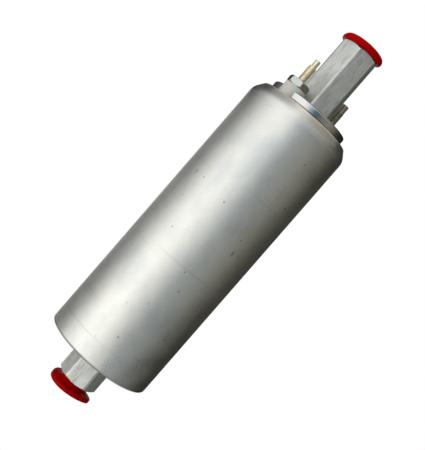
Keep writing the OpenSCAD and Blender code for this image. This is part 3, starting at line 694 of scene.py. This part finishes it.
def outlet_plug():
    """A hollow plug with a thick rounded rim that sits on the fitting's end and sags at its sides."""
    low, high = (corner.z for corner in reach("outlet_plug"))
    under_z = high - OUTLET_RIM_T
    bm = turned([
        (0, low, 0),
        (PLUG_NOSE_R, low, PLUG_NOSE_EDGE_R),
        (PLUG_NOSE_R, under_z, OUTLET_RIM_FOOT_R),
        (OUTLET_LIP_START_R, under_z, 0),
        (PLUG_RIM_R, under_z - OUTLET_LIP, OUTLET_RIM_EDGE_R),
        (PLUG_RIM_R, high, OUTLET_RIM_EDGE_R),
        (CUP_R, high, CUP_EDGE_R),
        (CUP_R, low + PLUG_WALL, CUP_EDGE_R),
        (0, low + PLUG_WALL, 0),
    ])
    bend_rim(bm, OUTLET_LIP_START_R, OUTLET_SAG_TURN, OUTLET_SAG)
    piece(bm, "outlet_red_plug", "outlet_plug")


def inlet_plug():
    """A hollow plug whose nose opens into a soft flange, which sags at two sides."""
    low, high = (corner.z for corner in reach("inlet_plug"))
    end_z = reach("inlet_fitting")[0].z
    cone_z = end_z - INLET_CONE_LEN
    rim_z = low + INLET_SAG[0] + INLET_RIM_T
    bm = turned([
        (0, high, 0),
        (PLUG_NOSE_R, high, PLUG_NOSE_EDGE_R),
        (PLUG_NOSE_R, cone_z, INLET_CONE_R),
        (PLUG_RIM_R, rim_z, INLET_RIM_EDGE_R),
        (PLUG_RIM_R, rim_z - INLET_RIM_T, INLET_RIM_EDGE_R),
        (CUP_R, rim_z - INLET_RIM_T, CUP_EDGE_R),
        (CUP_R, high - PLUG_WALL, CUP_EDGE_R),
        (0, high - PLUG_WALL, 0),
    ])
    bend_rim(bm, PLUG_NOSE_R, INLET_SAG_TURN, INLET_SAG)
    piece(bm, "inlet_red_plug", "inlet_plug")


# Terminals

def centre_of(node):
    """The middle of a node across the flow axis, in millimetres."""
    low, high = reach(node)
    return (low.x + high.x) / 2, (low.y + high.y) / 2


def stud(node, name, free_z, head_top, tip_r):
    """A stud with a round head, a threaded free end from a height up, and a plain tip."""
    low, high = (corner.z for corner in reach(node))
    shoulder_z = high - TIP_LEN
    bm = turned([
        (0, low, 0),
        (STUD_HEAD_R, low, STUD_HEAD_EDGE_R),
        (STUD_HEAD_R, head_top, STUD_HEAD_EDGE_R),
        (STUD_ROOT_R, head_top, 0),
        (STUD_ROOT_R, shoulder_z, 0),
        (tip_r, shoulder_z + TIP_SLOPE, 0),
        (tip_r, high, TIP_EDGE_R),
        (0, high, 0),
    ], STUD_SEGMENTS)
    wind_ridge(bm, STUD_ROOT_R - RIDGE_SINK, STUD_R, STUD_PITCH, free_z, shoulder_z)
    move(bm, *centre_of(node))
    piece(bm, name, node)


def terminals():
    """Both studs, and the nut on the insulated one."""
    nut_low, nut_high = (corner.z for corner in reach("positive_nut"))
    seal_z = reach("positive_seal")[0].z
    cap_z, collar_z = (corner.z for corner in reach("outlet_cap"))
    stud("positive_stud", "threaded_positive_stud", nut_high, seal_z, POSITIVE_TIP_R)
    stud("negative_stud", "threaded_negative_stud", collar_z, cap_z, NEGATIVE_TIP_R)
    bm = turned([
        (NUT_BORE_R, nut_low, NUT_BORE_EDGE_R),
        (NUT_FACE_R, nut_low, NUT_EDGE_R),
        (NUT_CORNER_R, nut_low + NUT_CHAMFER, NUT_EDGE_R),
        (NUT_CORNER_R, nut_high - NUT_CHAMFER, NUT_EDGE_R),
        (NUT_FACE_R, nut_high, NUT_EDGE_R),
        (NUT_BORE_R, nut_high, NUT_BORE_EDGE_R),
    ])
    mill_flats(bm, NUT_ACROSS, NUT_TURN)
    move(bm, *centre_of("positive_nut"))
    piece(bm, "terminal_nut", "positive_nut")


# Springs

def springs():
    """A smooth copy of each spring that a joint deforms, each with a mesh of its own."""
    for joint in frame["record"]["behaviour"]["joints"]:
        for spring in joint.get("deforming_nodes", []):
            obj = smooth_copy(spring["node"], "coiled_" + spring["node"])
            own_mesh(obj)


springs()
smooth_copy("outlet_cap", "collared_outlet_cap")
smooth_copy("inlet_cap", "round_inlet_cap")
smooth_copy("positive_insulator", "terminal_bush")
can()
outlet_fitting()
inlet_fitting()
outlet_plug()
inlet_plug()
terminals()


# Stage, in metres, with azimuths in degrees from the camera's side and to the right

TENT_R = 1.2
TENT_FOOT = -0.73
TENT_LOW = -0.24
TENT_COLLAR = 0.195
TENT_CROWN = 0.29
TENT_HIGH = 1.1
TENT_TOP = 2.7
TENT_VENT_R = 0.024
FLOOR_Z = -0.72
FLOOR_LIFT = 0.5
LOW_LIGHT = (
    (-180, (0.70, 0.70, 0.68)),
    (-166, (0.60, 0.60, 0.58)),
    (-154, (0.24, 0.24, 0.23)),
    (-125, (0.20, 0.20, 0.19)),
    (-104, (0.31, 0.315, 0.30)),
    (-82, (0.68, 0.68, 0.65)),
    (-60, (1.28, 1.27, 1.20)),
    (-38, (1.38, 1.38, 1.30)),
    (-24, (1.30, 1.30, 1.22)),
    (0, (0.66, 0.67, 0.65)),
    (23, (0.31, 0.34, 0.345)),
    (48, (0.235, 0.265, 0.27)),
    (80, (0.12, 0.125, 0.112)),
    (120, (0.03, 0.03, 0.025)),
    (160, (0.03, 0.03, 0.025)),
    (172, (0.20, 0.20, 0.19)),
)
WALL_LIGHT = (
    (-180, (0.80, 0.80, 0.78)),
    (-166, (0.70, 0.70, 0.68)),
    (-154, (0.30, 0.30, 0.29)),
    (-125, (0.25, 0.25, 0.24)),
    (-104, (0.41, 0.415, 0.40)),
    (-60, (1.15, 1.15, 1.11)),
    (-38, (1.23, 1.23, 1.18)),
    (0, (0.69, 0.70, 0.685)),
    (23, (0.335, 0.365, 0.37)),
    (48, (0.295, 0.30, 0.28)),
    (80, (0.19, 0.185, 0.157)),
    (98, (0.105, 0.102, 0.083)),
    (120, (0.05, 0.05, 0.04)),
    (160, (0.045, 0.045, 0.036)),
    (172, (0.30, 0.30, 0.29)),
)
COLLAR_LIGHT = (
    (-180, (0.10, 0.10, 0.09)),
    (-150, (0.05, 0.05, 0.045)),
    (-125, (0.10, 0.10, 0.095)),
    (-104, (0.25, 0.25, 0.24)),
    (-60, (0.90, 0.92, 0.88)),
    (-22, (1.02, 1.05, 1.00)),
    (-11, (0.80, 0.88, 0.88)),
    (0, (0.27, 0.39, 0.45)),
    (9, (0.10, 0.17, 0.23)),
    (19, (0.05, 0.085, 0.11)),
    (42, (0.17, 0.175, 0.16)),
    (60, (0.23, 0.215, 0.172)),
    (80, (0.16, 0.145, 0.105)),
    (100, (0.05, 0.048, 0.033)),
    (120, (0.02, 0.02, 0.016)),
    (165, (0.02, 0.02, 0.016)),
)
CROWN_LIGHT = (
    (-180, (0.10, 0.10, 0.09)),
    (-150, (0.05, 0.05, 0.045)),
    (-125, (0.10, 0.10, 0.095)),
    (-104, (0.34, 0.34, 0.33)),
    (-82, (0.74, 0.74, 0.72)),
    (-38, (1.18, 1.20, 1.17)),
    (-24, (1.12, 1.13, 1.10)),
    (0, (0.66, 0.70, 0.72)),
    (15, (0.42, 0.46, 0.48)),
    (32, (0.36, 0.37, 0.36)),
    (64, (0.32, 0.31, 0.28)),
    (80, (0.23, 0.21, 0.165)),
    (98, (0.13, 0.12, 0.095)),
    (120, (0.05, 0.047, 0.038)),
    (150, (0.012, 0.012, 0.01)),
)
ROOF_LIGHT = (
    (-180, (1.20, 1.20, 1.18)),
    (-150, (0.90, 0.90, 0.88)),
    (-130, (0.30, 0.30, 0.29)),
    (-95, (0.38, 0.38, 0.37)),
    (-60, (0.92, 0.91, 0.87)),
    (-20, (1.08, 1.05, 0.96)),
    (0, (0.68, 0.675, 0.64)),
    (30, (0.47, 0.465, 0.445)),
    (60, (0.41, 0.385, 0.335)),
    (95, (0.32, 0.295, 0.245)),
    (130, (0.20, 0.19, 0.17)),
    (160, (0.90, 0.90, 0.88)),
)
CARD_LIGHT = (1.5, 1.44, 1.30)
CARD_PLACE = (0.0, -0.30, -0.305)
CARD_HALF = (0.10, 0.115)
FRONT_SHARE = 0.25


def light_tent():
    """A round tent of graded light about the pump, which the metal mirrors, and a card below the camera."""
    tent_band("tent_low", (TENT_R, TENT_FOOT), (TENT_R, TENT_LOW), LOW_LIGHT)
    tent_band("tent_wall", (TENT_R, TENT_LOW), (TENT_R, TENT_COLLAR), WALL_LIGHT)
    tent_band("tent_collar", (TENT_R, TENT_COLLAR), (TENT_R, TENT_CROWN), COLLAR_LIGHT)
    tent_band("tent_crown", (TENT_R, TENT_CROWN), (TENT_R, TENT_HIGH), CROWN_LIGHT)
    tent_band("tent_roof", (TENT_R, TENT_HIGH), (TENT_VENT_R, TENT_TOP), ROOF_LIGHT)
    bm = bmesh.new()
    bmesh.ops.create_grid(bm, x_segments=1, y_segments=1, size=1.0)
    bmesh.ops.scale(bm, verts=bm.verts, vec=(*CARD_HALF, 1))
    bmesh.ops.rotate(bm, verts=bm.verts, matrix=Matrix.Rotation(math.pi / 2, 3, "X"))
    bmesh.ops.translate(bm, verts=bm.verts, vec=CARD_PLACE)
    light_piece(bm, "front_card", graded_light("front_card", ((-90, CARD_LIGHT), (90, CARD_LIGHT))))


def tent_band(name, foot, head, light):
    """One band of the tent, from a foot to a head, each a radius and a height."""
    bm = bmesh.new()
    bmesh.ops.create_circle(bm, segments=STAGE_SEGMENTS, radius=foot[0])
    bmesh.ops.translate(bm, verts=bm.verts, vec=(0, 0, foot[1]))
    band = bmesh.ops.extrude_edge_only(bm, edges=bm.edges[:])
    top = [v for v in band["geom"] if isinstance(v, bmesh.types.BMVert)]
    narrow = head[0] / foot[0]
    bmesh.ops.scale(bm, verts=top, vec=(narrow, narrow, 1))
    bmesh.ops.translate(bm, verts=top, vec=(0, 0, head[1] - foot[1]))
    light_piece(bm, name, graded_light(name, light))


def light_piece(bm, name, material):
    """Makes a shape a light on the stage, out of the camera's sight."""
    mesh = bpy.data.meshes.new(name)
    bm.to_mesh(mesh)
    bm.free()
    obj = bpy.data.objects.new(name, mesh)
    bpy.context.scene.collection.objects.link(obj)
    mesh.materials.append(material)
    obj.visible_camera = False


def graded_light(name, light):
    """Light that changes with the azimuth, from stops of an azimuth and a colour.

    The radial gradient runs round once from 0 to 1, with FRONT_SHARE at the camera's side.
    """
    material = bpy.data.materials.new(name)
    material.use_nodes = True
    tree = material.node_tree
    tree.nodes.clear()
    place = tree.nodes.new("ShaderNodeTexCoord")
    around = tree.nodes.new("ShaderNodeTexGradient")
    around.gradient_type = "RADIAL"
    ramp = tree.nodes.new("ShaderNodeValToRGB")
    glow = tree.nodes.new("ShaderNodeEmission")
    out = tree.nodes.new("ShaderNodeOutputMaterial")
    tree.links.new(place.outputs["Object"], around.inputs[0])
    tree.links.new(around.outputs["Fac"], ramp.inputs[0])
    tree.links.new(ramp.outputs[0], glow.inputs["Color"])
    tree.links.new(glow.outputs[0], out.inputs["Surface"])
    stops = sorted(((FRONT_SHARE + azimuth / 360) % 1, colour) for azimuth, colour in light)
    wrap = [(stops[-1][0] - 1, stops[-1][1]), *stops, (stops[0][0] + 1, stops[0][1])]
    seam = blend_at(wrap, 0.0)
    elements = ramp.color_ramp.elements
    for end, position in zip(elements, (0.0, 1.0)):
        end.position = position
        end.color = (*seam, 1)
    for position, colour in stops:
        elements.new(position).color = (*colour, 1)
    return material


def blend_at(stops, position):
    """The colour at a position between two stops."""
    for (low, a), (high, b) in zip(stops, stops[1:]):
        if low <= position <= high:
            share = (position - low) / (high - low)
            return tuple(x + (y - x) * share for x, y in zip(a, b))
    raise ValueError("the position lies outside the stops")


def floor():
    """A pale round floor well below the pump, lifted towards white where it is seen or mirrored."""
    bm = bmesh.new()
    bmesh.ops.create_circle(bm, segments=STAGE_SEGMENTS, radius=TENT_R, cap_ends=True)
    bmesh.ops.translate(bm, verts=bm.verts, vec=(0, 0, FLOOR_Z))
    mesh = bpy.data.meshes.new("floor")
    bm.to_mesh(mesh)
    bm.free()
    obj = bpy.data.objects.new("floor", mesh)
    bpy.context.scene.collection.objects.link(obj)
    f = Finish("floor_paint", (0.8, 0.8, 0.8), 0.7)
    f.set("Base Color", f.blend(f.noise(6, 3), (0.82, 0.82, 0.82), (0.78, 0.78, 0.78)))
    rays = f.add("ShaderNodeLightPath")
    seen = rays.outputs["Is Camera Ray"]
    for ray in ("Is Glossy Ray", "Is Transmission Ray"):
        seen = f.math("MAXIMUM", seen, rays.outputs[ray])
    f.set("Emission Color", (1, 1, 1, 1))
    f.set("Emission Strength", f.math("MULTIPLY", seen, FLOOR_LIFT))
    mesh.materials.append(f.material)


def world():
    """Plain white surroundings."""
    surroundings = bpy.data.worlds.new("surroundings")
    surroundings.use_nodes = True
    background = surroundings.node_tree.nodes["Background"]
    background.inputs["Color"].default_value = (1, 1, 1, 1)
    background.inputs["Strength"].default_value = 1.0
    bpy.context.scene.world = surroundings
    bpy.context.scene.view_settings.view_transform = "Standard"


# Camera

CAMERA_PLACE = Vector((0.00004, -0.36687, 0.02361))
CAMERA_LENS = 67.48
CAMERA_SENSOR = 36
CAMERA_ROLL = math.radians(41.0)
CAMERA_TILT = math.radians(1.318)
CAMERA_YAW = math.radians(0.065)
CAMERA_SHIFT = (-0.0275, -0.0332)


def camera():
    """Looks across the flow axis, rolled so that the outlet points up and to the right."""
    data = bpy.data.cameras.new("camera")
    data.lens = CAMERA_LENS
    data.sensor_width = CAMERA_SENSOR
    data.shift_x, data.shift_y = CAMERA_SHIFT
    obj = bpy.data.objects.new("camera", data)
    bpy.context.scene.collection.objects.link(obj)
    ahead = Vector((math.sin(CAMERA_YAW) * math.cos(CAMERA_TILT),
                    math.cos(CAMERA_YAW) * math.cos(CAMERA_TILT), -math.sin(CAMERA_TILT)))
    side = Vector((math.cos(CAMERA_YAW), -math.sin(CAMERA_YAW), 0))
    top = side.cross(ahead)
    right = side * math.cos(CAMERA_ROLL) + top * math.sin(CAMERA_ROLL)
    up = top * math.cos(CAMERA_ROLL) - side * math.sin(CAMERA_ROLL)
    turn = Matrix((right, up, -ahead)).transposed().to_4x4()
    obj.matrix_world = Matrix.Translation(CAMERA_PLACE) @ turn
    bpy.context.scene.camera = obj


light_tent()
floor()
world()
camera()
